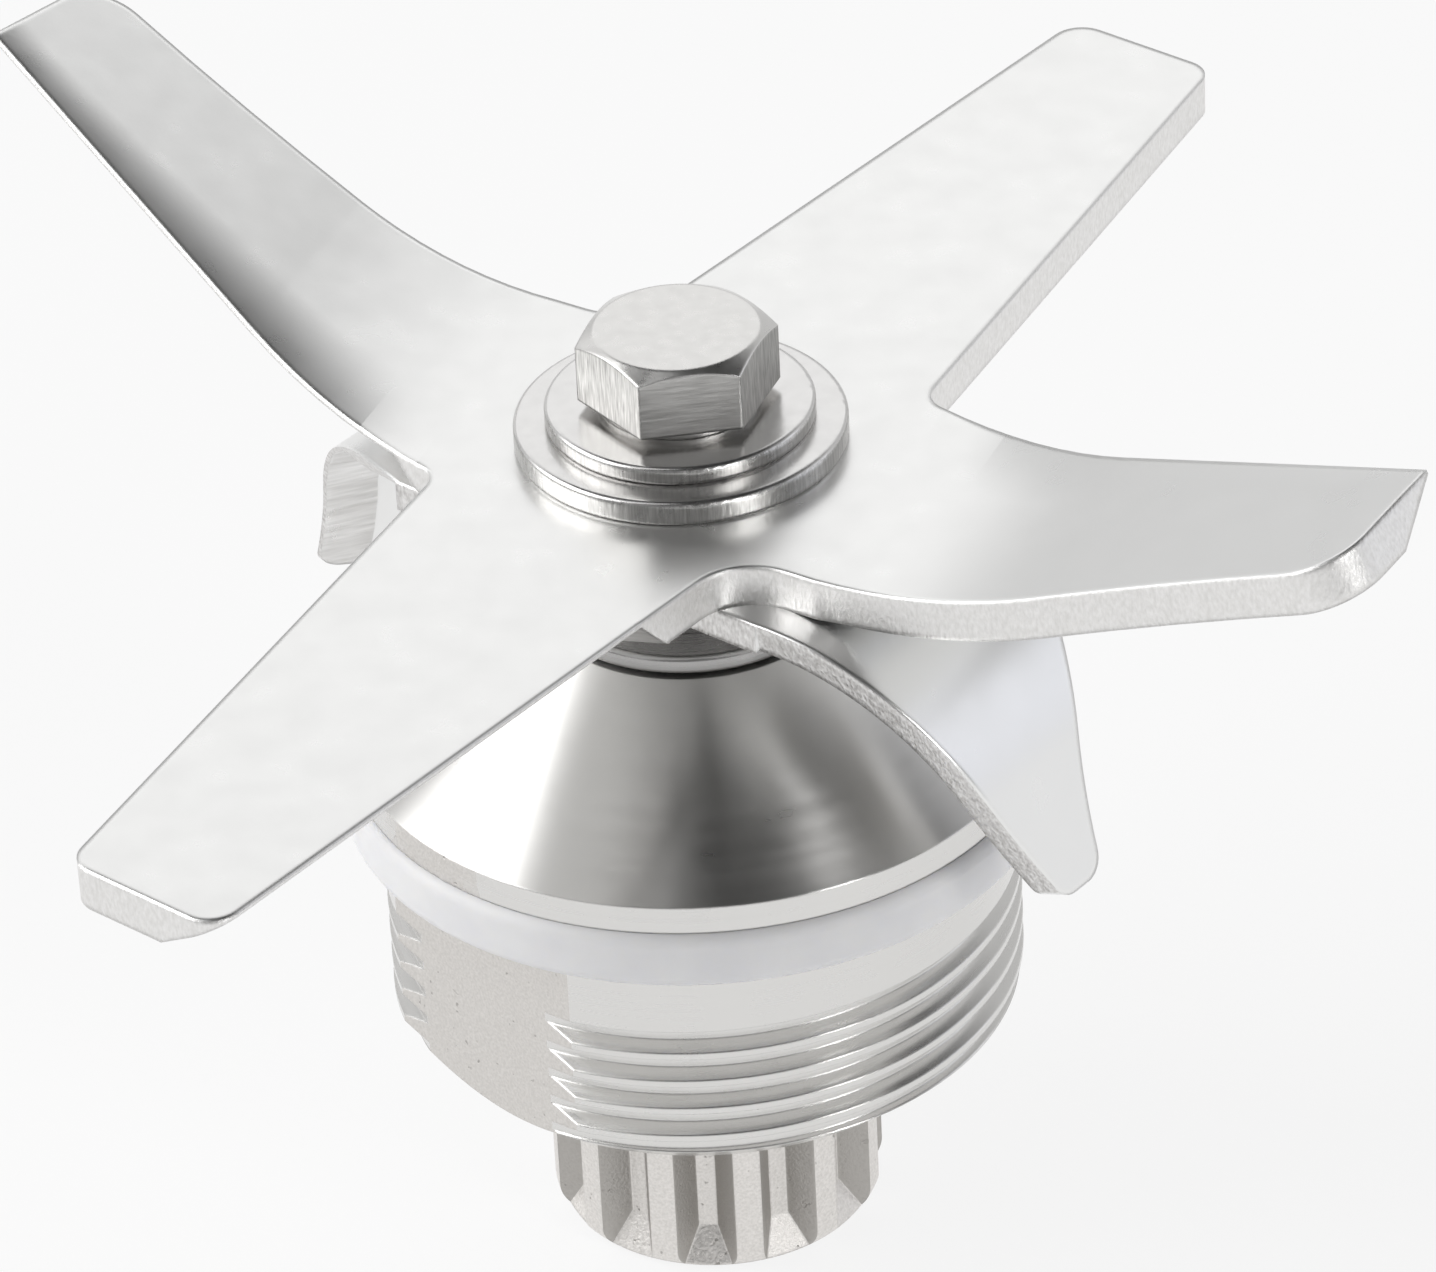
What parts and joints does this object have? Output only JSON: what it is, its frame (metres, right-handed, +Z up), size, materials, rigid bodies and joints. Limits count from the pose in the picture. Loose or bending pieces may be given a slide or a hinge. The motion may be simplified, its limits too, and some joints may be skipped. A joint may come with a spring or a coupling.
{
  "type": "blender blade assembly",
  "caption": "Jar-bottom mixer blade: stacked bent cutting blades bolted to a ball-bearing shaft in a threaded cone housing, with a silicone gasket and a toothed drive coupling below.",
  "frame": {"origin": "shaft axis at the underside of the drive coupling, which is the plane the part stands on", "axes": "+Z up along the shaft from the coupling to the bolt head; +Y away from the picture's viewer, +X to the viewer's right"},
  "size_m": [0.063, 0.072, 0.0523],
  "materials": {
    "blade_steel": "stamped stainless sheet, polished to a soft satin",
    "fastener_steel": "cold-formed stainless, fine machining marks",
    "housing_steel": "turned stainless with circular tool marks, flats left as cast",
    "cast_steel": "as cast, matte and slightly grainy",
    "silicone": "moulded milky silicone, soft matte",
    "shaft_steel": "turned and ground",
    "bearing_steel": "ground and lapped",
    "cage_plastic": "moulded nylon",
    "seal_rubber": "moulded nitrile rubber",
    "spring_steel": "oiled spring steel"
  },
  "bodies": {
    "housing": {"bearing_housing": "housing_steel", "jar_gasket": "silicone", "shaft_seal": "seal_rubber", "retaining_ring": "spring_steel", "outer_spacer": "bearing_steel", "lower_bearing_outer_ring": "bearing_steel", "upper_bearing_outer_ring": "bearing_steel", "lower_bearing_shields": "bearing_steel", "upper_bearing_shields": "bearing_steel"},
    "rotor": {"hex_bolt": "fastener_steel", "bolt_washer": "fastener_steel", "blade_washer": "fastener_steel", "upper_blade": "blade_steel", "lower_blade": "blade_steel", "slinger": "shaft_steel", "drive_shaft": "shaft_steel", "drive_coupling": "cast_steel", "inner_spacer": "bearing_steel", "lower_bearing_inner_ring": "bearing_steel", "upper_bearing_inner_ring": "bearing_steel"},
    "lower_ball_train": {"lower_bearing_balls": "bearing_steel", "lower_bearing_cage": "cage_plastic"},
    "upper_ball_train": {"upper_bearing_balls": "bearing_steel", "upper_bearing_cage": "cage_plastic"}
  },
  "joints": [
    {"name": "blade_spin", "type": "hinge", "parent": "housing", "child": "rotor", "pos_m": [0, 0, 0.0301], "axis": [0, 0, 1], "continuous": true},
    {"name": "lower_cage_spin", "type": "hinge", "parent": "housing", "child": "lower_ball_train", "pos_m": [0, 0, 0.0301], "axis": [0, 0, 1], "continuous": true},
    {"name": "upper_cage_spin", "type": "hinge", "parent": "housing", "child": "upper_ball_train", "pos_m": [0, 0, 0.0301], "axis": [0, 0, 1], "continuous": true}
  ],
  "couplings": [
    {"joint": "lower_cage_spin", "follows": "blade_spin", "ratio": 0.36773},
    {"joint": "upper_cage_spin", "follows": "blade_spin", "ratio": 0.36773}
  ]
}
